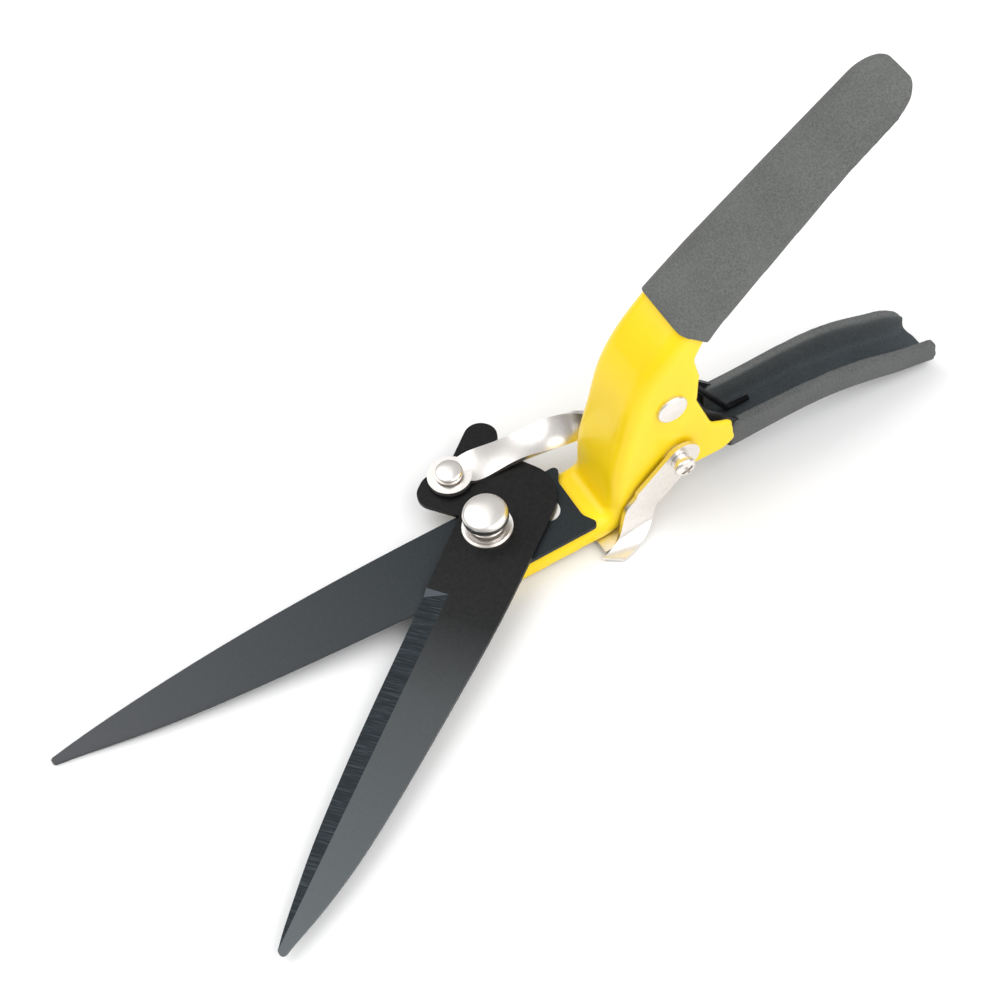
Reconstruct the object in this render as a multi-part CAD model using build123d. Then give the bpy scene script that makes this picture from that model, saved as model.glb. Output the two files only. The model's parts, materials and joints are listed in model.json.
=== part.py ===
"""Grass shears, held in one hand: two blades that cut level with the ground, turned by an upright grip.

Model frame while the pieces are drawn: X runs along the fixed blade to its tip, Y to the side that the
moving blade opens to, Z up, with the origin on the blade pivot at the top face of the fixed blade.
Every piece is drawn where it lies with the blades fully open, and is then tipped and set down on the
floor, with the origin under the middle of the whole tool.
"""
from build123d import *
import math
import os

os.makedirs("parts", exist_ok=True)

# ------------------------------------------------------------------ driving dimensions, mm and degrees
BLADE_REACH = 156.0        # blade pivot to blade tip
BLADE_T = 1.6              # thickness of both blades
BLADE_GAP = 0.2            # between the two blades
OPEN_ANGLE = 38.2          # moving blade at rest, from fully closed
SQUEEZE = 28.0             # travel of the lower handle
PITCH = 3.06               # nose down, as the tool lies on a floor
RUN_FIT = 0.05             # radial clearance of a turning fit

SHEET = 1.6                # body stamping
MID_Y = 3.6                # middle plane of the body and both handles
TONGUE_W = 27.6            # body under the blades
CHEEK_W = 24.8             # body beside the handle rivet
FLARE_X = (-50.0, -33.0)   # where the body widens from the cheeks to the tongue
FLANGE_Z = -8.8            # lower edge of the tongue's sides
TONGUE_FRONT = 14.0
ROOF_R = 5.0               # long edges of the body
ROOM_R = 2.4               # the same edges inside
GRIP_COAT = 1.7            # dipped vinyl on the upper handle
INNER_COAT = 1.2           # vinyl inside the upper handle

HANDLE_RIVET = (-61.4, 39.0)   # X and Z of the handle's hinge
HANDLE_PIN_R = 3.0
BUSH_R = 4.4
ARM_R = 31.8               # handle hinge to the link's rear pin
ARM_ANGLE = 13.0           # of the arm at rest, forward of straight down
EAR_R = 8.0                # handle's side plates about their hinge
LOWER_SHEET = 1.4          # lower handle channel
LOWER_W = 20.8             # lower grip over its coat
COAT = 1.1                 # dipped vinyl on the lower handle
COAT_FRONT = -84.6         # where that coat starts

LINK_PIN = (1.04, -23.3)   # X and Y of the link's front pin at rest
LINK_W = 10.5
LINK_T = 1.8
LINK_PIN_R = 2.5
LINK_REAR = (-54.2, -11.6, 7.7)    # middle of the link's rear hole
LINK_REAR_R = 2.3          # rear pin
LINK_HOLE_R = 3.6          # rear hole of the link, around that pin with clearance on every side
LINK_REAR_Y = -14.2        # outer face of the link's rear end, under the rivet head

RIVET_XY = (-20.0, MID_Y)  # blade rivet
RIVET_R = 2.5
RIVET_FLUSH_R = 4.4
BOLT_D = 6.0               # blade pivot
HEAD_R = 7.6
HEAD_H = 4.0
COLLAR_R = 4.4             # under the bolt's head and under the spring washer

LATCH_SCREW = (-61.9, 13.6)    # X and Z of the latch's hinge
LATCH_T = 1.5
LATCH_HALF_W = 6.3
SCREW_R = 2.0

SPRING_R = 6.6             # middle of the wire
WIRE_R = 1.0
SPRING_TURNS = 2.902
SPRING_PITCH = 2.3

TONGUE_TOP = -BLADE_T
BLADE_TOP = BLADE_GAP + BLADE_T          # top face of the moving blade
WASHER_TOP = BLADE_TOP + 0.1             # where the stack of washers starts
LINK_Z = BLADE_TOP + 1.15                # underside of the link's flat end
CHEEK_LOW = MID_Y - CHEEK_W / 2
CHEEK_HIGH = MID_Y + CHEEK_W / 2
TONGUE_LOW = MID_Y - TONGUE_W / 2
TONGUE_HIGH = MID_Y + TONGUE_W / 2
LATCH_Y = CHEEK_HIGH + 1.3               # inner face of the latch, held off the cheek by its washer
SCREW_HEAD_Y = LATCH_Y + LATCH_T + 0.1

# lines seen from the side, as X and Z: the body's top, and the lower grip's floor and rim
TOP_LINE = [(-37.4, 5.0), (-38.69, 16.7), (-42.6, 30.2), (-47.6, 46.6), (-55.6, 59.8), (-66.4, 70.2),
            (-82.5, 81.8), (-112, 101.6), (-142.0, 121.0)]
LOWER_FLOOR = [(-78, -5.8), (-96, -5.8), (-112, -5.9), (-125, -7.1), (-137, -9.9), (-150, -13.9),
               (-163.5, -18.6)]
LOWER_RIM = [(-78, 8.9), (-96, 8.2), (-110, 7.5), (-121, 6.5), (-131, 4.8), (-141, 2.0), (-151, -1.8),
             (-163.5, -6.6)]


# ------------------------------------------------------------------ small helpers
def side_slab(sketch, y_low, y_high):
    """Solid between two upright planes, from a sketch whose own X and Y are the tool's X and Z."""
    plane = Plane(origin=(0, y_high, 0), x_dir=(1, 0, 0), z_dir=(0, -1, 0))
    return extrude(plane * sketch, y_high - y_low)


def flat_slab(sketch, z_low, z_high):
    """Solid between two level planes, from a sketch in X and Y."""
    return extrude(Pos(0, 0, z_low) * sketch, z_high - z_low)


def cross_pin(x, z, y_low, y_high, radius):
    """Round bar along Y."""
    return side_slab(Pos(x, z) * Circle(radius), y_low, y_high)


def post(x, y, z_low, z_high, radius):
    """Round bar along Z."""
    return flat_slab(Pos(x, y) * Circle(radius), z_low, z_high)


def shape_from(*edges):
    """Face inside a closed chain of edges."""
    return make_face(Wire(list(edges)))


def polygon(points):
    return make_face(Polyline(*points, close=True))


def round_near(face, spots, radius):
    """Round the corners of a face that lie closest to the given places."""
    corners = [min(face.vertices(), key=lambda v: (v.X - x) ** 2 + (v.Y - y) ** 2) for x, y in spots]
    return fillet(corners, radius)


def shifted(points, distance):
    """A row of X, Z points moved sideways by a distance, to the left of their direction."""
    moved = []
    for i, (x, z) in enumerate(points):
        ax, az = points[max(i - 1, 0)]
        bx, bz = points[min(i + 1, len(points) - 1)]
        run = math.hypot(bx - ax, bz - az)
        moved.append((x - distance * (bz - az) / run, z + distance * (bx - ax) / run))
    return moved


def dome(radius, height):
    """Low round cap standing on the XY plane, with a straight rim of a third of its height."""
    rim = height / 3
    return revolve(
        shape_from(
            Line((0, 0, 0), (radius, 0, 0)),
            Line((radius, 0, 0), (radius, 0, rim)),
            Spline((radius, 0, rim), (0.72 * radius, 0, 0.86 * height), (0, 0, height),
                   tangents=((0, 0, 1), (-1, 0, 0))),
            Line((0, 0, height), (0, 0, 0)),
        ),
        Axis.Z,
    )


def ribbon(edges, thickness, facing):
    """Strip of sheet through pairs of edge points, its outer face first turned towards facing."""
    sections = []
    outward = Vector(*facing)
    middles = [(Vector(*a) + Vector(*b)) * 0.5 for a, b in edges]
    for i, (a, b) in enumerate(edges):
        along = middles[min(i + 1, len(edges) - 1)] - middles[max(i - 1, 0)]
        if i == 0:
            normal = outward
        else:
            normal = along.cross(Vector(*b) - Vector(*a)).normalized()
            normal = normal if normal.dot(outward) > 0 else normal * -1
        outward = normal
        half = normal * (thickness / 2)
        corners = (Vector(*a) - half, Vector(*b) - half, Vector(*b) + half, Vector(*a) + half)
        sections.append(make_face(Polyline(*corners, close=True)))
    return loft(sections)


# ------------------------------------------------------------------ blades
def fixed_blade():
    """Square shank on the tongue, then a long blade whose edge is ground from below."""
    cutting = Spline((154.8, 1.1), (150.6, 1.7), (131.5, 5.2), (102, 9.3), (71.7, 12.2), (34, 14.8),
                     (14, 16.2), (-4, 17.4))
    back = Spline((27, -10.6), (60, -10.2), (93.5, -8.6), (126.7, -5.5), (148.7, -2.4), (154.6, -1.3))
    shank = Polyline((-4, 17.4), (-24, 17.4), (-32.4, 17.4), (-28.9, 11.4), (-28.9, -4.2), (-32.4, -10.2),
                     (-24, -10.2), (27, -10.6))
    nose = ThreePointArc((154.6, -1.3), (BLADE_REACH, 0), (154.8, 1.1))
    outline = shape_from(cutting, *shank.edges(), back, nose)
    outline = round_near(outline, [(-32.4, 17.4), (-32.4, -10.2)], 1.6)
    outline = round_near(outline, [(-28.9, 11.4), (-28.9, -4.2)], 4.0)
    blade = flat_slab(outline, -BLADE_T, 0)
    blade -= post(0, 0, -BLADE_T, 0, BOLT_D / 2)
    blade -= Pos(*RIVET_XY, -BLADE_T) * countersink()
    grind = Plane(origin=(40, 9.0, -BLADE_T), x_dir=(1, -0.088, 0), z_dir=(0, 0.2, -1))
    return blade - grind * Pos(70, -25, 5) * Box(160, 50, 10)


def countersink():
    return Cone(RIVET_R, RIVET_FLUSH_R, BLADE_T, align=(Align.CENTER, Align.CENTER, Align.MIN))


def fixed_blade_rivet():
    body = Pos(*RIVET_XY, -BLADE_T) * countersink()
    body += post(*RIVET_XY, -BLADE_T - SHEET, -BLADE_T, RIVET_R)
    head = Pos(*RIVET_XY, -BLADE_T - SHEET) * Rot(180, 0, 0) * dome(4.0, 1.6)
    return body + head


def moving_blade_outline():
    """Seen from above with the blade closed: two finger lobes, a round rear and the long blade."""
    rear = Spline((-31.2, -10.6), (-28.2, 1.4), (-27.2, 7.8), (-23.9, 13.7), (-17.3, 17.3), (-9, 17.9),
                  tangents=((0.1, 1), (1, 0)))
    spine = Spline((-9, 17.9), (6, 17.6), (23, 17.3), (58, 15.1), (92, 12.2), (125, 8.0), (146.7, 2.8),
                   (154.7, 0.6), tangents=((1, 0), (1, -0.2)))
    nose = ThreePointArc((154.7, 0.6), (BLADE_REACH, -0.9), (154.4, -2.3))
    edge = Spline((154.4, -2.3), (148, -3.5), (139, -4.7), (129, -6.0), (109, -7.7), (77, -9.1), (43, -9.7),
                  (26, -10))
    lobes = Polyline((26, -10), (-1.4, -10.6), (-1.4, -27.9), (-14.8, -27.9), (-15, -21.8), (-38.6, -22.2),
                     (-38.6, -10.6), (-31.2, -10.6))
    outline = shape_from(rear, spine, nose, edge, *lobes.edges())
    outline = round_near(outline, [(-1.4, -27.9), (-14.8, -27.9)], 5.8)
    return round_near(outline, [(-38.6, -22.2), (-38.6, -10.6)], 5.5)


def bevel():
    """What the grinding takes off: it starts 8 mm in from the edge, with a short run-out by the pivot."""
    slope = Plane(origin=(30.8, -2.1, BLADE_TOP), x_dir=(1, 0.0277, 0), z_dir=(0, -0.165, 1))
    run_out = Plane(origin=(27.5, -6, BLADE_TOP), x_dir=(1, 0, -0.45), z_dir=(0.45, 0, 1))
    return slope * Pos(60, -50, 5) * Box(200, 100, 10) & run_out * Pos(90, 0, 50) * Box(260, 100, 100)


def moving_blade():
    blade = flat_slab(moving_blade_outline(), BLADE_GAP, BLADE_TOP) - bevel()
    closed_pin = Vector(*LINK_PIN, 0).rotate(Axis.Z, -OPEN_ANGLE)
    blade -= post(0, 0, 0, BLADE_TOP, BOLT_D / 2 + RUN_FIT)
    blade -= post(closed_pin.X, closed_pin.Y, 0, BLADE_TOP, LINK_PIN_R)
    return Rot(0, 0, OPEN_ANGLE) * blade


# ------------------------------------------------------------------ blade pivot
def ring(z_low, z_high, outer, inner):
    return post(0, 0, z_low, z_high, outer) - post(0, 0, z_low, z_high, inner)


def pivot_bolt():
    """Bolt from above, with a collar between its domed head and the spring washer."""
    seat = WASHER_TOP + 5.0
    bolt = post(0, 0, -8.5, seat, BOLT_D / 2)
    bolt += post(0, 0, seat, seat + 1.7, COLLAR_R)
    return bolt + Pos(0, 0, seat + 1.6) * dome(HEAD_R, HEAD_H)


def pivot_spring_washer():
    """Split spring ring."""
    coil = ring(WASHER_TOP + 3.1, WASHER_TOP + 5.0, 6.0, BOLT_D / 2 + 0.2)
    cut = Pos(-4.6, 0, WASHER_TOP + 4.0) * Rot(0, 0, 20) * Rot(30, 0, 0) * Box(6, 0.6, 6)
    return coil - cut


def pivot_washer_lower():
    return ring(WASHER_TOP, WASHER_TOP + 1.0, 8.46, BOLT_D / 2)


def pivot_washer_upper():
    """Washer with a hub that carries the spring washer."""
    washer = ring(WASHER_TOP + 1.0, WASHER_TOP + 2.0, 7.9, BOLT_D / 2)
    return washer + ring(WASHER_TOP + 2.0, WASHER_TOP + 3.1, COLLAR_R, BOLT_D / 2)


def tongue_washer():
    top = TONGUE_TOP - SHEET
    return ring(top - 1.0, top, 6.2, BOLT_D / 2)


def pivot_nut():
    low = TONGUE_TOP - SHEET - 1.0 - 4.2
    nut = extrude(Pos(0, 0, low) * RegularPolygon(5.0, 6, major_radius=False), 4.2)
    nut &= Pos(0, 0, low) * dome(6.4, 14)
    return nut - post(0, 0, low, low + 4.2, BOLT_D / 2)


# ------------------------------------------------------------------ yellow body
def body_profile(inset):
    """Side outline of the body, or of the room inside it when the top is moved in by the sheet."""
    tongue_z = TONGUE_TOP - inset
    top = shifted(TOP_LINE, inset)
    bottom = FLANGE_Z - 4 * inset
    front = TONGUE_FRONT + 3 * inset
    fold_x = TOP_LINE[0][0] + 0.8 - inset
    neck = Spline(*top, tangents=((-0.05, 1), (-0.85, 0.53)))
    if inset:
        # open underneath: the room runs out through the lower edges
        rest = Polyline(top[-1], (top[-1][0] - 20, top[-1][1]), (-150, 40), (-100, -20), (front, bottom),
                        (front, tongue_z), (fold_x, tongue_z), top[0])
        outline = shape_from(neck, *rest.edges())
    else:
        rest = Polyline(top[-1], (-138.0, 115.6), (-87.8, 74.4), (-76.4, 63.6), (-70.8, 56.0), (-72.4, 47),
                        (-71.0, 35.4), (-76.2, 19.4), (-83.8, 15.4), (-84.8, 5.0), (-80.8, 2.6),
                        (-46, 2.6), (-39.5, FLANGE_Z), (front, bottom), (front, tongue_z),
                        (fold_x, tongue_z), top[0])
        outline = shape_from(neck, *rest.edges())
        outline = round_near(outline, [(-70.8, 56.0), (-80.8, 2.6)], 1.6)
        outline = round_near(outline, [(-84.8, 5.0)], 1.6)
        outline = round_near(outline, [(-83.8, 15.4), (-39.5, FLANGE_Z)], 2.6)
        outline = round_near(outline, [(-76.2, 19.4), (-46, 2.6)], 4.0)
    return round_near(outline, [(fold_x, tongue_z)], 3.0 + inset)


def body_plan(inset):
    """Outline of the body from above: it widens smoothly from the cheeks to the tongue."""
    high = CHEEK_HIGH - inset
    wide_high = TONGUE_HIGH - inset
    low = CHEEK_LOW + inset
    wide_low = TONGUE_LOW + inset
    start, stop = FLARE_X
    flare_high = Spline((start, high), (stop, wide_high), tangents=((1, 0), (1, 0)))
    flare_low = Spline((stop, wide_low), (start, low), tangents=((-1, 0), (-1, 0)))
    return shape_from(
        Line((-200, high), (start, high)), flare_high, Line((stop, wide_high), (50, wide_high)),
        Line((50, wide_high), (50, wide_low)), Line((50, wide_low), (stop, wide_low)), flare_low,
        Line((start, low), (-200, low)), Line((-200, low), (-200, high)),
    )


def roof_edges(solid):
    """The long edges where the sides of a block meet its top."""
    found = []
    for edge in solid.edges():
        spot = edge @ 0.5
        inward = 2.0 if spot.Y < MID_Y else -2.0
        on_side = abs(spot.Y - MID_Y) > CHEEK_W / 2 - 3 * SHEET
        upright = abs((edge @ 1 - edge @ 0).Z) > 0.999 * edge.length
        behind_rivet = spot.X < HANDLE_RIVET[0] and spot.Z < HANDLE_RIVET[1]
        if upright or behind_rivet or not on_side:
            continue
        if solid.is_inside(spot + Vector(-2, inward, -2)):
            found.append(edge)
    return found


def body_solid(inset, round_r):
    """Cheeks, tongue and handle in one, rounded along the top."""
    block = side_slab(body_profile(inset), -60, 60) & flat_slab(body_plan(inset), -60, 160)
    return fillet(roof_edges(block), round_r) if round_r else block


def arc_slot(radius, half_width, start, stop):
    """Curved slot about the handle rivet, between two angles from straight down."""
    cx, cz = HANDLE_RIVET

    def at(angle, r):
        a = math.radians(angle)
        return (cx + r * math.sin(a), cz - r * math.cos(a))

    middle = (start + stop) / 2
    slot = shape_from(
        ThreePointArc(at(start, radius + half_width), at(middle, radius + half_width),
                      at(stop, radius + half_width)),
        Line(at(stop, radius + half_width), at(stop, radius - half_width)),
        ThreePointArc(at(stop, radius - half_width), at(middle, radius - half_width),
                      at(start, radius - half_width)),
        Line(at(start, radius - half_width), at(start, radius + half_width)),
    )
    return slot + Pos(*at(start, radius)) * Circle(half_width) + Pos(*at(stop, radius)) * Circle(half_width)


def body_shell():
    shell = body_solid(0, ROOF_R) - body_solid(SHEET, ROOM_R)
    shell -= post(0, 0, TONGUE_TOP - SHEET, TONGUE_TOP, BOLT_D / 2)
    shell -= post(*RIVET_XY, TONGUE_TOP - SHEET, TONGUE_TOP, RIVET_R)
    shell -= cross_pin(*HANDLE_RIVET, CHEEK_LOW, CHEEK_HIGH, HANDLE_PIN_R)
    shell -= cross_pin(*LATCH_SCREW, MID_Y, CHEEK_HIGH, SCREW_R)
    slot = arc_slot(ARM_R, LINK_REAR_R + 0.7, ARM_ANGLE + 1, ARM_ANGLE - SQUEEZE - 1)
    return shell - side_slab(slot, CHEEK_LOW - 1, MID_Y)


def upper_grip():
    """Dipped vinyl over the handle end of the body, inside and out, open underneath."""
    top = shifted(TOP_LINE, -GRIP_COAT)[5:]
    crown = Spline(*top)
    rear_top = (-148.4, 125.9)
    rear_low = (-147.6, 118.9)
    end = ThreePointArc(rear_top, (-152.6, 122.4), rear_low)
    under = Polyline(rear_low, (-141.0, 114.4), (-126, 104.0), (-87.0, 71.4), (-75.4, 61.4), top[0])
    outline = shape_from(crown, Line(top[-1], rear_top), end, *under.edges())
    low = CHEEK_LOW - GRIP_COAT
    high = CHEEK_HIGH + GRIP_COAT
    block = side_slab(outline, low, high)
    plan = Rectangle(90, high - low, align=(Align.MIN, Align.MIN))
    plan = fillet(plan.vertices().sort_by(Axis.X)[:2], 11.0)
    block &= flat_slab(Pos(-152.7, low) * plan, 0, 160)
    steel = body_solid(0, ROOF_R) - body_solid(SHEET, ROOM_R)
    room = body_solid(SHEET + INNER_COAT, 0) & Pos(-90, 0, 100) * Box(102, 60, 200)
    return block - room - steel


# ------------------------------------------------------------------ handle rivet, bush and latch screw
def cap(x, z, y_face, outward, radius, height):
    """Domed head on an upright face, looking along +Y or -Y."""
    turn = Rot(-90, 0, 0) if outward > 0 else Rot(90, 0, 0)
    return Pos(x, y_face, z) * turn * dome(radius, height)


def handle_rivet():
    rivet = cross_pin(*HANDLE_RIVET, CHEEK_LOW, CHEEK_HIGH, HANDLE_PIN_R)
    rivet += cap(*HANDLE_RIVET, CHEEK_HIGH, 1, 5.35, 1.7)
    return rivet + cap(*HANDLE_RIVET, CHEEK_LOW, -1, 5.0, 1.5)


def pivot_bush():
    low = CHEEK_LOW + SHEET + 0.3
    high = CHEEK_HIGH - SHEET - 0.3
    bore = cross_pin(*HANDLE_RIVET, low, high, HANDLE_PIN_R + RUN_FIT)
    return cross_pin(*HANDLE_RIVET, low, high, BUSH_R) - bore


def latch_screw():
    """Pan head screw with a cross recess, standing off the latch on a long collar."""
    x, z = LATCH_SCREW
    head_y = SCREW_HEAD_Y + 2.0
    screw = cross_pin(x, z, CHEEK_HIGH - 6.6, CHEEK_HIGH, SCREW_R)
    screw += cross_pin(x, z, CHEEK_HIGH, SCREW_HEAD_Y, SCREW_R + 0.6)
    screw += cross_pin(x, z, SCREW_HEAD_Y, head_y, 3.2)
    screw += cap(x, z, head_y, 1, 3.8, 2.6)
    recess = Pos(x, head_y + 2.2, z) * Rot(0, 20, 0) * (Box(1.0, 2.6, 4.2) + Box(4.2, 2.6, 1.0))
    return screw - recess


def latch_washer():
    inner = cross_pin(*LATCH_SCREW, CHEEK_HIGH, LATCH_Y - 0.1, SCREW_R + 0.6)
    return cross_pin(*LATCH_SCREW, CHEEK_HIGH, LATCH_Y - 0.1, 4.6) - inner


def latch_nut():
    nut = Pos(LATCH_SCREW[0], LATCH_SCREW[1]) * RegularPolygon(3.5, 6, major_radius=False)
    inside = CHEEK_HIGH - SHEET
    return side_slab(nut, inside - 3.2, inside) - cross_pin(*LATCH_SCREW, inside - 3.2, inside, SCREW_R)


# ------------------------------------------------------------------ lower handle
def trough_block(half_width, floor_up, rim_up, x_front, x_rear, round_r):
    """Solid handle blank between its floor and rim lines, rounded along the bottom."""
    floor = shifted(LOWER_FLOOR, -floor_up)
    rim = shifted(LOWER_RIM, -rim_up)
    outline = shape_from(Spline(*floor), Line(floor[-1], rim[-1]), Spline(*rim[::-1]),
                         Line(rim[0], floor[0]))
    outline &= Pos((x_front + x_rear) / 2, 0) * Rectangle(x_front - x_rear, 200)
    block = side_slab(outline, MID_Y - half_width, MID_Y + half_width)
    edges = []
    for edge in block.edges():
        spot = edge @ 0.5
        along_x = abs((edge @ 1 - edge @ 0).X) > 0.5 * edge.length
        inner = Vector(spot.X, 0.9 * spot.Y + 0.1 * MID_Y, spot.Z - 1)
        if along_x and not block.is_inside(inner):
            edges.append(edge)
    return fillet(edges, round_r)


def ear(points, y_low):
    """One side plate of the lower handle, round about the handle rivet."""
    cx, cz = HANDLE_RIVET
    plate = polygon(points) + Pos(cx, cz) * Circle(EAR_R)
    return side_slab(plate, y_low, y_low + LOWER_SHEET)


def arm_end():
    a = math.radians(ARM_ANGLE)
    return (HANDLE_RIVET[0] + ARM_R * math.sin(a), HANDLE_RIVET[1] - ARM_R * math.cos(a))


def lower_handle():
    half = LOWER_W / 2 - COAT
    channel = trough_block(half, COAT, -COAT, -79, -162.0, 4.9)
    channel -= trough_block(half - LOWER_SHEET, COAT + LOWER_SHEET, 30, -60, -200, 3.5)
    x, z = arm_end()
    near = ear([(-54.2, 35.5), (-66.5, 24), (-69.5, 10), (-79, -1), (-90, 0), (-90, 7.2), (-76.5, 22),
                (-69.4, 39)], MID_Y + half - LOWER_SHEET)
    far = ear([(-53.4, 39), (x + 5.0, z), (x - 4.0, z - 3), (-70, 3), (-79, -1), (-90, 0), (-90, 7.2),
               (-76.5, 22), (-69.4, 39)], MID_Y - half)
    far += cross_pin(x, z, MID_Y - half, MID_Y - half + LOWER_SHEET, 5.0)
    handle = channel + near + far
    handle -= cross_pin(*HANDLE_RIVET, MID_Y - half, MID_Y + half, BUSH_R)
    return handle - cross_pin(x, z, MID_Y - half, MID_Y - half + LOWER_SHEET, LINK_REAR_R)


def lower_grip():
    half = LOWER_W / 2
    wall = 2 * COAT + LOWER_SHEET
    coat = trough_block(half, 0, 0, COAT_FRONT, -163.5, 6.0)
    coat -= trough_block(half - wall, wall, 30, -60, -200, 2.5)
    return coat - lower_handle()


def link_rivet_rear():
    x, z = arm_end()
    inside = MID_Y - LOWER_W / 2 + COAT + LOWER_SHEET
    pin = cross_pin(x, z, LINK_REAR_Y, inside, LINK_REAR_R)
    return pin + cap(x, z, inside, 1, 3.8, 1.4) + cap(x, z, LINK_REAR_Y, -1, 4.6, 1.9)


def torsion_spring():
    """Coil round the bush: one leg down to the handle's floor and bent along it, one up to the roof."""
    place = Plane(origin=(HANDLE_RIVET[0], 3.4, HANDLE_RIVET[1]), x_dir=(-0.8709, 0, 0.4914),
                  z_dir=(0, 1, 0))
    helix = place * Helix(SPRING_PITCH, SPRING_PITCH * SPRING_TURNS, SPRING_R)
    wire = sweep(Plane(origin=helix @ 0, z_dir=helix % 0) * Circle(WIRE_R), path=helix)
    lower = Plane(origin=helix @ 0, z_dir=(helix % 0) * -1) * Circle(WIRE_R)
    upper = Plane(origin=helix @ 1, z_dir=helix % 1) * Circle(WIRE_R)
    knee = (helix @ 0) - (helix % 0) * 49.0
    foot = Plane(origin=knee, z_dir=(-0.999, 0, -0.035)) * Circle(WIRE_R)
    legs = extrude(lower, 49.0) + Pos(*knee) * Sphere(WIRE_R) + extrude(foot, 8.4) + extrude(upper, 28.0)
    return wire + legs


# ------------------------------------------------------------------ link
def link():
    flat_z = LINK_Z + LINK_T / 2
    eye = post(*LINK_PIN, LINK_Z, LINK_Z + LINK_T, 7.5)
    # middle of the strip: X, Y, Z, and its twist from flat to upright
    course = [(-4, -22.9, flat_z, 0), (-22, -21.3, flat_z, 0), (-30, -20.4, flat_z + 0.3, 12),
              (-38, -18.4, 5.4, 42), (-44.5, -15.4, 7.0, 72), (-50, LINK_REAR[1], LINK_REAR[2], 90)]
    edges = []
    for i, (x, y, z, twist) in enumerate(course):
        x0, y0 = course[max(i - 1, 0)][:2]
        x1, y1 = course[min(i + 1, len(course) - 1)][:2]
        heading = (Vector(x1 - x0, y1 - y0, 0) if i < len(course) - 1 else Vector(-1, 0, 0)).normalized()
        outer = Vector(-heading.Y, heading.X, 0)
        half = (outer * math.cos(math.radians(twist)) + Vector(0, 0, math.sin(math.radians(twist))))
        half = half * (LINK_W / 2)
        middle = Vector(x, y, z)
        edges.append((tuple(middle - half), tuple(middle + half)))
    strap = ribbon(edges, LINK_T, (0, 0, 1))
    x, y, z = LINK_REAR
    tail = Pos(x, z) * Circle(LINK_W / 2) + Pos((x - 49.9) / 2, z) * Rectangle(-49.9 - x, LINK_W)
    bar = eye + strap + side_slab(tail, y - LINK_T / 2, y + LINK_T / 2)
    bar -= post(*LINK_PIN, LINK_Z, LINK_Z + LINK_T, LINK_PIN_R + RUN_FIT)
    return bar - cross_pin(x, z, y - LINK_T, y + LINK_T, LINK_HOLE_R)


def link_rivet_front():
    x, y = LINK_PIN
    top = LINK_Z + LINK_T + 0.1
    rivet = post(x, y, BLADE_GAP, top, LINK_PIN_R) + post(x, y, top, top + 0.8, 3.5)
    rivet += Pos(x, y, top + 0.8) * dome(4.65, 2.4)
    return rivet + Pos(x, y, BLADE_GAP) * Rot(180, 0, 0) * dome(4.0, 1.2)


def link_spacer():
    x, y = LINK_PIN
    return post(x, y, BLADE_TOP, LINK_Z - 0.1, 5.6) - post(x, y, BLADE_TOP, LINK_Z - 0.1, LINK_PIN_R)


# ------------------------------------------------------------------ latch
def latch():
    """Flat on the cheek, then past its lower edge, flared out to a thumb tab, with a hook inwards."""
    x, z = LATCH_SCREW
    along = Vector(0.752, 0, -0.659)
    across = Vector(0.659, 0, 0.752) * LATCH_HALF_W
    start = Vector(x, LATCH_Y + LATCH_T / 2, z) - Vector(0.659, 0, 0.752) * 0.8 - along
    knee = start + along * 18.0
    flat = polygon([(p.X, p.Z) for p in (start + across, start - across, knee - across, knee + across)])
    plate = side_slab(flat + Pos(start.X, start.Z) * Circle(LATCH_HALF_W), LATCH_Y, LATCH_Y + LATCH_T)
    bend = knee - along * 0.6
    edges = [(tuple(bend + across), tuple(bend - across)),
             ((-41.2, 18.2, 1.2), (-51.6, 18.2, -5.4)),
             ((-38.7, 19.2, -4.2), (-49.4, 19.6, -8.6)),
             ((-36.2, 20.8, -8.0), (-46.4, 22.2, -10.2)),
             ((-33.2, 22.2, -9.5), (-42.0, 25.0, -11.0)),
             ((-30.6, 23.2, -9.9), (-37.6, 26.8, -11.0)),
             ((-28.4, 23.8, -9.9), (-34.2, 27.6, -10.9))]
    strip = ribbon(edges, LATCH_T, (0, 1, 0))
    hook = Pos(-35.2, 18.2, -10.0) * Box(9.6, 8.4, 1.4)
    return plate + strip + hook - cross_pin(x, z, LATCH_Y - 1, LATCH_Y + 3, SCREW_R + 0.6 + RUN_FIT)


# ------------------------------------------------------------------ the whole tool, set down on its floor
PARTS = {
    "body_shell": body_shell,
    "upper_grip": upper_grip,
    "fixed_blade": fixed_blade,
    "fixed_blade_rivet": fixed_blade_rivet,
    "pivot_bolt": pivot_bolt,
    "pivot_washer_lower": pivot_washer_lower,
    "pivot_washer_upper": pivot_washer_upper,
    "pivot_spring_washer": pivot_spring_washer,
    "tongue_washer": tongue_washer,
    "pivot_nut": pivot_nut,
    "handle_rivet": handle_rivet,
    "latch_screw": latch_screw,
    "latch_washer": latch_washer,
    "latch_nut": latch_nut,
    "lower_handle": lower_handle,
    "lower_grip": lower_grip,
    "pivot_bush": pivot_bush,
    "link_rivet_rear": link_rivet_rear,
    "torsion_spring": torsion_spring,
    "moving_blade": moving_blade,
    "link_rivet_front": link_rivet_front,
    "link_spacer": link_spacer,
    "link": link,
    "latch": latch,
}


def tipped(shape):
    return Rot(0, PITCH, 0) * shape


def main():
    shapes = {}
    for name, make in PARTS.items():
        shapes[name] = tipped(make())
        print(name, shapes[name].is_valid, len(shapes[name].solids()), round(shapes[name].volume, 1))
    whole = Compound(children=[s.moved(Location()) for s in shapes.values()]).bounding_box()
    shift = Pos(-whole.center().X, -whole.center().Y, -whole.min.Z)
    print("shift", shift.position, "size", whole.size)
    for name, shape in shapes.items():
        export_step(shift * shape, "parts/" + name + ".step")
    return shift


if __name__ == "__main__":
    main()
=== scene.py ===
import json
import math

import bmesh
import bpy
from mathutils import Matrix, Vector


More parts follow.
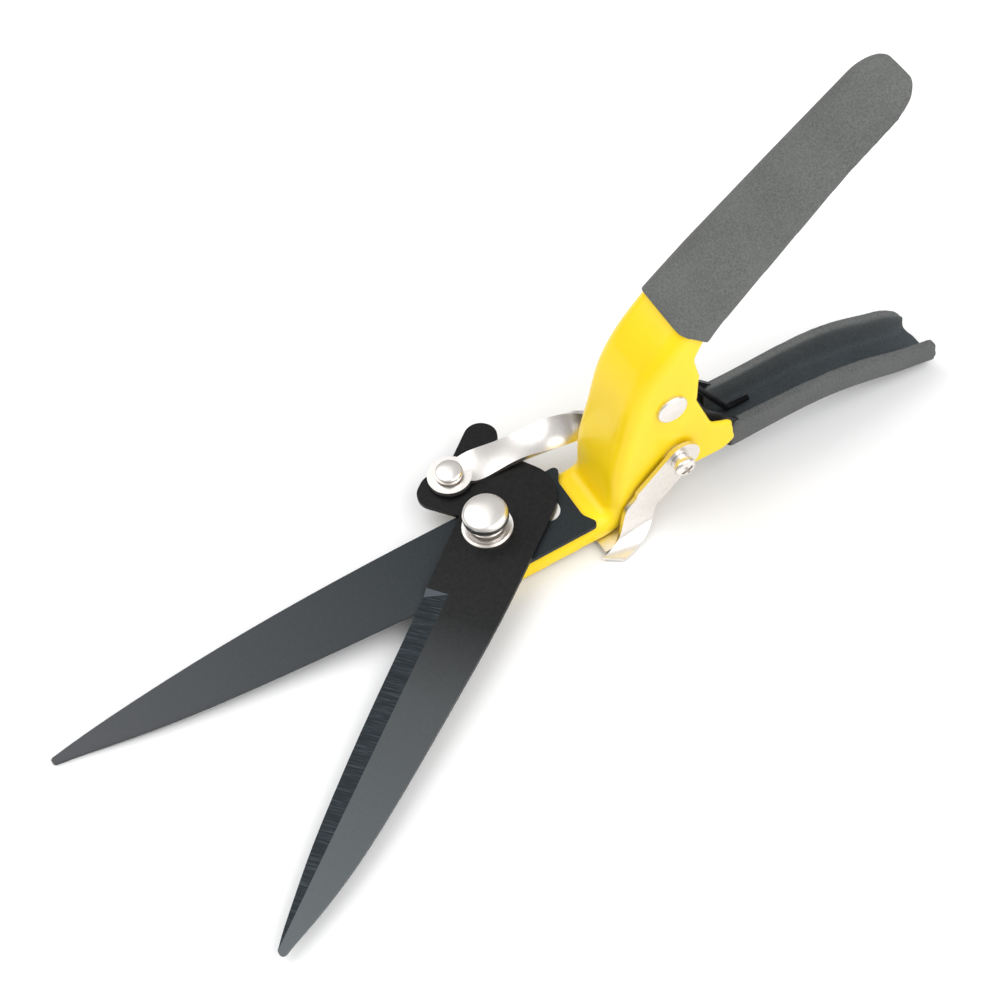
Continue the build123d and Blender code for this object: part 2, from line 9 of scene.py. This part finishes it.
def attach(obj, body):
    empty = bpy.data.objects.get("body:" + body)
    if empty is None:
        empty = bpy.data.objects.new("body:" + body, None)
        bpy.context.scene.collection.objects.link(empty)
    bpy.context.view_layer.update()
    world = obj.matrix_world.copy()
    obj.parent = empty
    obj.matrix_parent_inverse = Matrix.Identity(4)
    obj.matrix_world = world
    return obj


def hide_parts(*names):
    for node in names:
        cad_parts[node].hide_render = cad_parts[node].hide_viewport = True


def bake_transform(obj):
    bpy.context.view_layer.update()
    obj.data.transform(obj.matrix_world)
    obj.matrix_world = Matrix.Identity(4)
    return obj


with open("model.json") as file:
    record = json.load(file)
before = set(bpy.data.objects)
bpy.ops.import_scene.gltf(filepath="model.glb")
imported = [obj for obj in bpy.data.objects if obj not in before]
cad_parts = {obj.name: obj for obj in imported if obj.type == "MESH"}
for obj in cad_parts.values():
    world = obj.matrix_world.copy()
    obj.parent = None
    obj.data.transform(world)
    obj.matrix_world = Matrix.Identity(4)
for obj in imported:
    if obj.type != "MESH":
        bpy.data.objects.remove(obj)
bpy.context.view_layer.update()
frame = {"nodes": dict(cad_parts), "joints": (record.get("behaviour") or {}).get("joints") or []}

MM = 0.001

# ------------------------------------------------------------------ the tool's own axes
# X runs along the fixed blade, Y along the handle hinge, Z up the blade pivot; origin on the pivot.
JOINTS = {joint["name"]: joint for joint in frame["joints"]}
AXIS_Z = Vector(JOINTS["blade_turn"]["axis"]).normalized()
AXIS_Y = Vector(JOINTS["handle_squeeze"]["axis"]).normalized()
AXIS_X = AXIS_Y.cross(AXIS_Z)
PIVOT = Vector(JOINTS["blade_turn"]["pos_m"])
TOOL = Matrix.Translation(PIVOT) @ Matrix((AXIS_X, AXIS_Y, AXIS_Z)).transposed().to_4x4()

OPEN_ANGLE = math.radians(38.2)         # moving blade at rest, from fully closed

# lengths and places below are in millimetres in those axes; pairs are X and Z
BLADE_REACH = 156.0                     # pivot to tip
MID_Y = 3.6                             # middle plane of the handles
HANDLE_RUN = (-0.84, 0.543)             # direction of the upper handle
NECK_XZ = (-61.0, 58.0)                 # where the handle starts to narrow
NECK_RUN, NECK_PULL = 24, 2.0           # it narrows by this much over this length
TAPER_RUN, TAPER_PULL = 85, 1.3         # and then more slowly
GRIP_LOW, GRIP_HIGH = -10.5, 17.7       # sides of the upper grip
CROWN_END_XZ = (-141.1, 122.4)          # rear end of the grip's straight top
CROWN = [(-65.2, 71.5), (-81.5, 83.4), (-111.1, 103.0), CROWN_END_XZ, (-157.9, 133.3)]
GRIP_END = 10.6                         # how far the grip runs past that point
SECTION_R = 8.5                         # rounding of the grip's long edges
END_R = 13.0                            # and of its end
FAR_RISE = 2.6                          # how much higher the lower grip's far rim stands
LIP_RUN = 4.0                           # how far the lower grip's rim runs out at its end


def at(x, y, z):
    """A place given in the tool's axes and millimetres, in the frame's metres."""
    return TOOL @ (Vector((x, y, z)) * MM)


# ------------------------------------------------------------------ camera, floor and light
def add_camera():
    """Where the photograph was taken from: the numbers come from a fit of the tool to it."""
    right = Vector((-0.86550, 0.49165, -0.09589))
    look = Vector((-0.20947, -0.52913, -0.82228))
    up = right.cross(look)
    spot = Matrix((right, up, -look)).transposed().to_4x4()
    spot.translation = Vector((140.63, 370.03, 588.22)) * MM
    data = bpy.data.cameras.new("camera")
    data.lens = 78.6
    data.sensor_width = 36.0
    data.clip_start = 0.01
    camera = bpy.data.objects.new("camera", data)
    camera.matrix_world = TOOL @ spot
    bpy.context.scene.collection.objects.link(camera)
    bpy.context.scene.camera = camera


def add_area(name, place, target, size, power, colour=(1, 1, 1)):
    data = bpy.data.lights.new(name, "AREA")
    data.shape = "DISK"
    data.size = size
    data.energy = power
    data.color = colour
    light = bpy.data.objects.new(name, data)
    light.location = place
    light.rotation_euler = (Vector(target) - Vector(place)).to_track_quat("-Z", "Y").to_euler()
    bpy.context.scene.collection.objects.link(light)


def add_floor():
    mesh = bpy.data.meshes.new("floor")
    reach = 3.0
    corners = [(-reach, -reach, 0), (reach, -reach, 0), (reach, reach, 0), (-reach, reach, 0)]
    mesh.from_pydata(corners, [], [(0, 1, 2, 3)])
    floor = bpy.data.objects.new("floor", mesh)
    bpy.context.scene.collection.objects.link(floor)
    mat, tree, shader = new_material("floor_white")
    shader.inputs["Base Color"].default_value = (0.93, 0.93, 0.93, 1)
    shader.inputs["Roughness"].default_value = 0.9
    shader.inputs["Specular IOR Level"].default_value = 0.1
    mesh.materials.append(mat)


def add_world():
    world = bpy.data.worlds.new("studio")
    world.use_nodes = True
    tree = world.node_tree
    back = tree.nodes["Background"]
    coords = tree.nodes.new("ShaderNodeTexCoord")
    split = tree.nodes.new("ShaderNodeSeparateXYZ")
    tree.links.new(coords.outputs["Generated"], split.inputs[0])
    band = tree.nodes.new("ShaderNodeValToRGB")
    stops = [(0.0, (0.30, 0.28, 0.27, 1)), (0.52, (0.34, 0.31, 0.29, 1)),
             (0.62, (0.70, 0.69, 0.68, 1)), (0.80, (1, 1, 1, 1)), (1.0, (0.92, 0.93, 0.95, 1))]
    fill_ramp(band, stops)
    half = tree.nodes.new("ShaderNodeMath")
    half.operation = "MULTIPLY_ADD"
    half.inputs[1].default_value = 0.5
    half.inputs[2].default_value = 0.5
    tree.links.new(split.outputs["Z"], half.inputs[0])
    tree.links.new(half.outputs[0], band.inputs["Fac"])
    tree.links.new(band.outputs["Color"], back.inputs["Color"])
    back.inputs["Strength"].default_value = 0.68
    bpy.context.scene.world = world


# ------------------------------------------------------------------ material helpers
def new_material(name):
    mat = bpy.data.materials.new(name)
    mat.use_nodes = True
    tree = mat.node_tree
    return mat, tree, tree.nodes["Principled BSDF"]


def fill_ramp(ramp, stops):
    elements = ramp.color_ramp.elements
    while len(elements) < len(stops):
        elements.new(0.5)
    for element, (place, colour) in zip(elements, stops):
        element.position = place
        element.color = colour


def ramp(tree, fac, stops):
    node = tree.nodes.new("ShaderNodeValToRGB")
    fill_ramp(node, [(place, (*colour, 1)) for place, colour in stops])
    tree.links.new(fac, node.inputs["Fac"])
    return node.outputs["Color"]


def places(tree, scale=(1, 1, 1)):
    """Object coordinates turned into the tool's axes, so that patterns follow the metal."""
    coords = tree.nodes.new("ShaderNodeTexCoord")
    mapping = tree.nodes.new("ShaderNodeMapping")
    mapping.vector_type = "POINT"
    turn = TOOL.to_3x3().inverted().to_euler()
    mapping.inputs["Rotation"].default_value = turn
    mapping.inputs["Location"].default_value = TOOL.inverted().translation
    tree.links.new(coords.outputs["Object"], mapping.inputs["Vector"])
    stretch = tree.nodes.new("ShaderNodeVectorMath")
    stretch.operation = "MULTIPLY"
    stretch.inputs[1].default_value = scale
    tree.links.new(mapping.outputs[0], stretch.inputs[0])
    return stretch.outputs[0]


def noise(tree, vector, scale, detail=3.0, roughness=0.55):
    node = tree.nodes.new("ShaderNodeTexNoise")
    node.inputs["Scale"].default_value = scale
    node.inputs["Detail"].default_value = detail
    node.inputs["Roughness"].default_value = roughness
    tree.links.new(vector, node.inputs["Vector"])
    return node.outputs["Fac"]


def calc(tree, operation, a, b=None, c=None):
    node = tree.nodes.new("ShaderNodeMath")
    node.operation = operation
    for socket, value in zip(node.inputs, (a, b, c)):
        if value is None:
            continue
        if isinstance(value, (int, float)):
            socket.default_value = value
        else:
            tree.links.new(value, socket)
    return node.outputs[0]


def mix(tree, fac, a, b):
    node = tree.nodes.new("ShaderNodeMix")
    node.data_type = "RGBA"
    for socket, value in ((node.inputs[0], fac), (node.inputs[6], a), (node.inputs[7], b)):
        if isinstance(value, tuple):
            socket.default_value = (*value, 1)
        elif isinstance(value, (int, float)):
            socket.default_value = value
        else:
            tree.links.new(value, socket)
    return node.outputs[2]


def bump(tree, shader, height, strength, distance):
    node = tree.nodes.new("ShaderNodeBump")
    node.inputs["Strength"].default_value = strength
    node.inputs["Distance"].default_value = distance
    tree.links.new(height, node.inputs["Height"])
    tree.links.new(node.outputs["Normal"], shader.inputs["Normal"])


# ------------------------------------------------------------------ materials
def yellow_paint():
    """Glossy enamel with a faint orange peel."""
    mat, tree, shader = new_material("yellow_paint")
    spots = places(tree)
    tone = noise(tree, spots, 45.0, 2.0)
    colour = ramp(tree, tone, [(0.3, (0.95, 0.66, 0.004)), (0.7, (0.99, 0.71, 0.008))])
    tree.links.new(colour, shader.inputs["Base Color"])
    shader.inputs["Roughness"].default_value = 0.38
    shader.inputs["Specular IOR Level"].default_value = 0.25
    shader.inputs["Coat Weight"].default_value = 0.3
    shader.inputs["Coat Roughness"].default_value = 0.14
    bump(tree, shader, noise(tree, spots, 420.0, 2.0), 0.08, 0.0004)
    return mat


def grip_vinyl(name, dark, light, painted_shade_inside=False):
    """Dipped vinyl: matt, with a fine even grain."""
    mat, tree, shader = new_material(name)
    spots = places(tree)
    grain = noise(tree, spots, 1500.0, 4.0, 0.7)
    cloud = noise(tree, spots, 60.0, 2.0)
    both = calc(tree, "ADD", calc(tree, "MULTIPLY", grain, 0.8), calc(tree, "MULTIPLY", cloud, 0.2))
    colour = ramp(tree, both, [(0.36, dark), (0.62, light)])
    # painted shade: inside the trough the vinyl is made darker and bluish
    if painted_shade_inside:
        painted_shade_mask = tree.nodes.new("ShaderNodeAttribute")
        painted_shade_mask.attribute_name = "painted_shade_mask"
        painted_shade_colour = ramp(tree, both, [(0.36, (0.036, 0.044, 0.050)), (0.62, (0.062, 0.074, 0.082))])
        colour = mix(tree, painted_shade_mask.outputs["Fac"], colour, painted_shade_colour)
    tree.links.new(colour, shader.inputs["Base Color"])
    shader.inputs["Roughness"].default_value = 0.72
    shader.inputs["Specular IOR Level"].default_value = 0.35
    bump(tree, shader, grain, 0.35, 0.0003)
    return mat


def nickel():
    """Plated steel with fine scratches and a warm tone."""
    mat, tree, shader = new_material("nickel")
    spots = places(tree, (1, 5, 1))
    scratches = noise(tree, spots, 900.0, 4.0, 0.65)
    tree.links.new(ramp(tree, scratches, [(0.35, (0.80, 0.76, 0.72)), (0.65, (0.87, 0.84, 0.81))]),
                   shader.inputs["Base Color"])
    shader.inputs["Metallic"].default_value = 1.0
    tree.links.new(calc(tree, "MULTIPLY_ADD", scratches, 0.10, 0.25), shader.inputs["Roughness"])
    bump(tree, shader, scratches, 0.01, 0.0001)
    return mat


def dark_steel(name, colour, roughness):
    mat, tree, shader = new_material(name)
    spots = places(tree)
    tone = noise(tree, spots, 300.0, 4.0)
    darker = tuple(0.7 * c for c in colour)
    tree.links.new(ramp(tree, tone, [(0.35, darker), (0.65, colour)]), shader.inputs["Base Color"])
    shader.inputs["Metallic"].default_value = 0.3
    shader.inputs["Specular IOR Level"].default_value = 0.25
    shader.inputs["Roughness"].default_value = roughness
    bump(tree, shader, tone, 0.06, 0.0002)
    return mat


def tilt(tree):
    """How far a face leans away from the blade's flat: 0 on the flat, about 0.013 on the bevel."""
    geometry = tree.nodes.new("ShaderNodeNewGeometry")
    local = tree.nodes.new("ShaderNodeVectorTransform")
    local.vector_type = "NORMAL"
    local.convert_from = "WORLD"
    local.convert_to = "OBJECT"
    tree.links.new(geometry.outputs["True Normal"], local.inputs[0])
    dot = tree.nodes.new("ShaderNodeVectorMath")
    dot.operation = "DOT_PRODUCT"
    dot.inputs[1].default_value = AXIS_Z
    tree.links.new(local.outputs[0], dot.inputs[0])
    return calc(tree, "SUBTRACT", 1.0, calc(tree, "ABSOLUTE", dot.outputs["Value"]))


def between(tree, value, low, high):
    return calc(tree, "MULTIPLY", calc(tree, "GREATER_THAN", value, low),
                calc(tree, "LESS_THAN", value, high))


def blade_coating(name, closed_turn, reflection_tones):
    """Satin coating with a painted reflection that makes it lighter towards the tip; the bevel is
    darker and brushed across the edge.
    """
    mat, tree, shader = new_material(name)
    spots = places(tree)
    turned = tree.nodes.new("ShaderNodeVectorRotate")
    turned.rotation_type = "Z_AXIS"
    turned.inputs["Angle"].default_value = closed_turn
    tree.links.new(spots, turned.inputs["Vector"])
    split = tree.nodes.new("ShaderNodeSeparateXYZ")
    tree.links.new(turned.outputs[0], split.inputs[0])
    along = calc(tree, "MULTIPLY", split.outputs["X"], 1 / (BLADE_REACH * MM))
    # painted reflection: the colour grows lighter from the pivot towards the tip
    tone = ramp(tree, along, reflection_tones)
    grain = noise(tree, turned.outputs[0], 900.0, 3.0)
    speckle = ramp(tree, grain, [(0.3, (0.0, 0.0, 0.0)), (0.7, (0.06, 0.06, 0.06))])
    flat = mix(tree, 0.10, tone, speckle)
    comb = tree.nodes.new("ShaderNodeVectorMath")
    comb.operation = "MULTIPLY"
    comb.inputs[1].default_value = (1, 0.03, 0.03)
    tree.links.new(turned.outputs[0], comb.inputs[0])
    brushed = noise(tree, comb.outputs[0], 2200.0, 3.0, 0.8)
    ground = ramp(tree, brushed, [(0.30, (0.003, 0.005, 0.007)), (0.52, (0.011, 0.017, 0.022)),
                                  (0.75, (0.060, 0.078, 0.088))])
    lean = tilt(tree)
    bevel = between(tree, lean, 0.004, 0.05)
    run_out = between(tree, lean, 0.05, 0.3)
    colour = mix(tree, bevel, flat, ground)
    colour = mix(tree, run_out, colour, (0.072, 0.084, 0.095))
    tree.links.new(colour, shader.inputs["Base Color"])
    shader.inputs["Metallic"].default_value = 0.1
    shader.inputs["Specular IOR Level"].default_value = 0.16
    tree.links.new(calc(tree, "MULTIPLY_ADD", bevel, -0.1, 0.44), shader.inputs["Roughness"])
    bump(tree, shader, mix(tree, bevel, grain, brushed), 0.05, 0.0002)
    return mat


def use(mat, *nodes):
    """Give CAD nodes a material."""
    for name in nodes:
        node = frame["nodes"][name]
        node.data.materials.clear()
        node.data.materials.append(mat)


def dress():
    use(nickel(), "pivot_bolt", "pivot_washer_lower", "pivot_washer_upper", "pivot_spring_washer",
        "handle_rivet", "latch", "latch_screw", "latch_washer", "link", "link_rivet_front",
        "link_rivet_rear", "link_spacer", "fixed_blade_rivet", "tongue_washer", "pivot_nut",
        "latch_nut", "pivot_bush")
    use(dark_steel("handle_black", (0.022, 0.024, 0.027), 0.42), "lower_handle")
    # painted reflection: the fixed blade's tones grow lighter from the pivot to the tip
    use(blade_coating("coating_and_reflection_fixed", 0.0,
                      [(0.0, (0.016, 0.022, 0.026)), (0.35, (0.040, 0.046, 0.051)),
                       (1.0, (0.078, 0.082, 0.088))]), "fixed_blade")
    # painted reflection: the moving blade's tones grow lighter from the pivot to the tip
    use(blade_coating("coating_and_reflection_moving", -OPEN_ANGLE,
                      [(0.0, (0.007, 0.007, 0.0075)), (0.22, (0.012, 0.0125, 0.013)),
                       (0.42, (0.066, 0.072, 0.075)), (1.0, (0.115, 0.132, 0.138))]),
        "moving_blade")


# ------------------------------------------------------------------ pieces that stand for CAD nodes
def cad_copy(name, keep_behind=None):
    """Welded copy of a CAD node, or of its part behind a plane, with the cut filled."""
    mesh = bmesh.new()
    mesh.from_mesh(frame["nodes"][name].data)
    bmesh.ops.remove_doubles(mesh, verts=mesh.verts, dist=2e-6)
    if keep_behind:
        spot, normal = keep_behind
        everything = mesh.verts[:] + mesh.edges[:] + mesh.faces[:]
        bmesh.ops.bisect_plane(mesh, geom=everything, plane_co=spot, plane_no=normal,
                               clear_outer=True)
        open_edges = [edge for edge in mesh.edges if edge.is_boundary]
        bmesh.ops.holes_fill(mesh, edges=open_edges)
    return mesh


def add_object(name, mesh, mat):
    piece = bpy.data.objects.new(name, mesh)
    bpy.context.scene.collection.objects.link(piece)
    mesh.materials.append(mat)
    for face in mesh.polygons:
        face.use_smooth = True
    return piece


def soften(name, parts, voxel, rounds, mat):
    """One closed skin round several solids, with its edges worn round."""
    merged = bpy.data.meshes.new(name)
    whole = bmesh.new()
    for part in parts:
        holder = bpy.data.meshes.new("part")
        part.to_mesh(holder)
        whole.from_mesh(holder)
        bpy.data.meshes.remove(holder)
    whole.to_mesh(merged)
    piece = bpy.data.objects.new(name, merged)
    bpy.context.scene.collection.objects.link(piece)
    remesh = piece.modifiers.new("skin", "REMESH")
    remesh.mode = "VOXEL"
    remesh.voxel_size = voxel
    smooth = piece.modifiers.new("round", "SMOOTH")
    smooth.factor = 0.5
    smooth.iterations = rounds
    view = bpy.context.evaluated_depsgraph_get()
    skin = bpy.data.meshes.new_from_object(piece.evaluated_get(view))
    skin.name = name
    bpy.data.objects.remove(piece)
    bpy.data.meshes.remove(merged)
    return add_object(name, skin, mat)


def smooth_step(value):
    value = min(max(value, 0.0), 1.0)
    return value * value * (3 - 2 * value)


def reshape(piece, move):
    """Move every point of a piece by a function of its place in the tool's axes and millimetres."""
    back = TOOL.inverted()
    for vert in piece.data.vertices:
        spot = (back @ vert.co) / MM
        vert.co = TOOL @ (move(spot) * MM)


def along_handle(spot, start):
    """Distance of a place behind a point, along the upper handle."""
    return (spot.x - start[0]) * HANDLE_RUN[0] + (spot.z - start[1]) * HANDLE_RUN[1]


def narrowed(spot):
    """The handle end of the body and its grip narrow towards the rear, from the near side."""
    run = along_handle(spot, NECK_XZ)
    pull = NECK_PULL * smooth_step(run / NECK_RUN) + TAPER_PULL * max(run - NECK_RUN, 0) / TAPER_RUN
    share = (spot.y - GRIP_LOW) / (GRIP_HIGH - GRIP_LOW)
    return Vector((spot.x, spot.y - pull * share, spot.z))


def below_crown(spot):
    """Depth of a place under the upper grip's top line."""
    depth = None
    for (ax, az), (bx, bz) in zip(CROWN, CROWN[1:]):
        run = math.hypot(bx - ax, bz - az)
        share = min(max(((spot.x - ax) * (bx - ax) + (spot.z - az) * (bz - az)) / run ** 2, 0), 1)
        gap = math.hypot(spot.x - ax - share * (bx - ax), spot.z - az - share * (bz - az))
        side = (spot.x - ax) * (bz - az) - (spot.z - az) * (bx - ax)
        if depth is None or gap < abs(depth):
            depth = gap if side < 0 else -gap
    return depth


def rounded_grip(spot):
    """Round section and a domed end: points outside a rounded box are drawn in onto it."""
    depth = below_crown(spot)
    across = spot.y - (GRIP_LOW + GRIP_HIGH) / 2
    half = (GRIP_HIGH - GRIP_LOW) / 2
    run = along_handle(spot, CROWN_END_XZ)
    beyond = Vector((max(run - (GRIP_END - END_R), 0) * SECTION_R / END_R,
                     max(abs(across) - (half - SECTION_R), 0), max(SECTION_R - depth, 0)))
    if beyond.length > SECTION_R:
        cut = beyond * (SECTION_R / beyond.length) - beyond
        along = cut.x * END_R / SECTION_R
        side = math.copysign(1, across) * cut.y
        spot = spot + Vector((HANDLE_RUN[0] * along + HANDLE_RUN[1] * cut.z, side,
                              HANDLE_RUN[1] * along - HANDLE_RUN[0] * cut.z))
    return narrowed(spot)


def flared_grip(spot):
    """The far rim stands higher towards the rear, and both rims run out in a rounded lip."""
    rear = smooth_step((-spot.x - 92) / 45)
    far = smooth_step((MID_Y - 2 - spot.y) / 7)
    last = smooth_step((-spot.x - 150) / 13)
    floor = -6 - 0.0045 * max(-spot.x - 112, 0) ** 2
    up = smooth_step((spot.z - floor) / 12)
    drop = 5.5 * far * up * max((-spot.x - 153.5) / 10, 0) ** 2
    return Vector((spot.x - LIP_RUN * last * (1 - 0.35 * far), spot.y,
                   spot.z + FAR_RISE * rear * far * up - drop))


def painted_body():
    """The stamping in front of the grip, with the soft edges of pressed and painted sheet."""
    cut_at = at(-77.5, MID_Y, 63.5)
    normal = AXIS_Z * 0.71 - AXIS_X * 0.70
    parts = [cad_copy("body_shell", (cut_at, normal))]
    skin = soften("body_painted", parts, 0.6 * MM, 5, yellow_paint())
    reshape(skin, narrowed)
    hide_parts("body_shell")
    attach(skin, "stock")


def upper_grip():
    cut_at = at(-76.5, MID_Y, 62.5)
    normal = AXIS_X * 0.70 - AXIS_Z * 0.71
    parts = [cad_copy("upper_grip"), cad_copy("body_shell", (cut_at, normal))]
    skin = soften("grip_upper", parts, 0.8 * MM, 14,
                  grip_vinyl("vinyl_upper", (0.085, 0.089, 0.085), (0.150, 0.155, 0.149)))
    reshape(skin, rounded_grip)
    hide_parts("upper_grip")
    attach(skin, "stock")


def lower_grip():
    parts = [cad_copy("lower_grip"), cad_copy("lower_handle", (at(-86.5, MID_Y, 0), AXIS_X))]
    skin = soften("grip_lower", parts, 0.7 * MM, 10,
                  grip_vinyl("vinyl_lower", (0.075, 0.079, 0.079), (0.130, 0.135, 0.132), True))
    back = TOOL.inverted()
    # painted shade mask: 1 between the rims across the trough, falling to 0 towards the sides
    painted_shade_mask = skin.data.attributes.new("painted_shade_mask", "FLOAT", "POINT")
    for vert, value in zip(skin.data.vertices, painted_shade_mask.data):
        value.value = smooth_step((7.6 - abs((back @ vert.co).y / MM - MID_Y)) / 1.4)
    reshape(skin, flared_grip)
    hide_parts("lower_grip")
    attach(skin, "squeeze_handle")


def spring():
    """The coil, copied from the CAD node in black steel; on the real tool it winds up in a squeeze,
    one leg with the handle and one with the body, but this copy stays fixed in place.
    """
    mesh = bpy.data.meshes.new("spring_wire")
    cad_copy("torsion_spring").to_mesh(mesh)
    wire = add_object("spring_wire", mesh, dark_steel("spring_black", (0.012, 0.012, 0.013), 0.38))
    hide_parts("torsion_spring")
    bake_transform(wire)


add_camera()
add_floor()
add_world()
centre = at(0, 0, 0)
add_area("key", at(380, -420, 900), centre, 1.3, 6.8)
add_area("fill", at(-400, 600, 600), centre, 1.2, 6.5)
bpy.context.scene.view_settings.view_transform = "Standard"
dress()
painted_body()
upper_grip()
lower_grip()
spring()
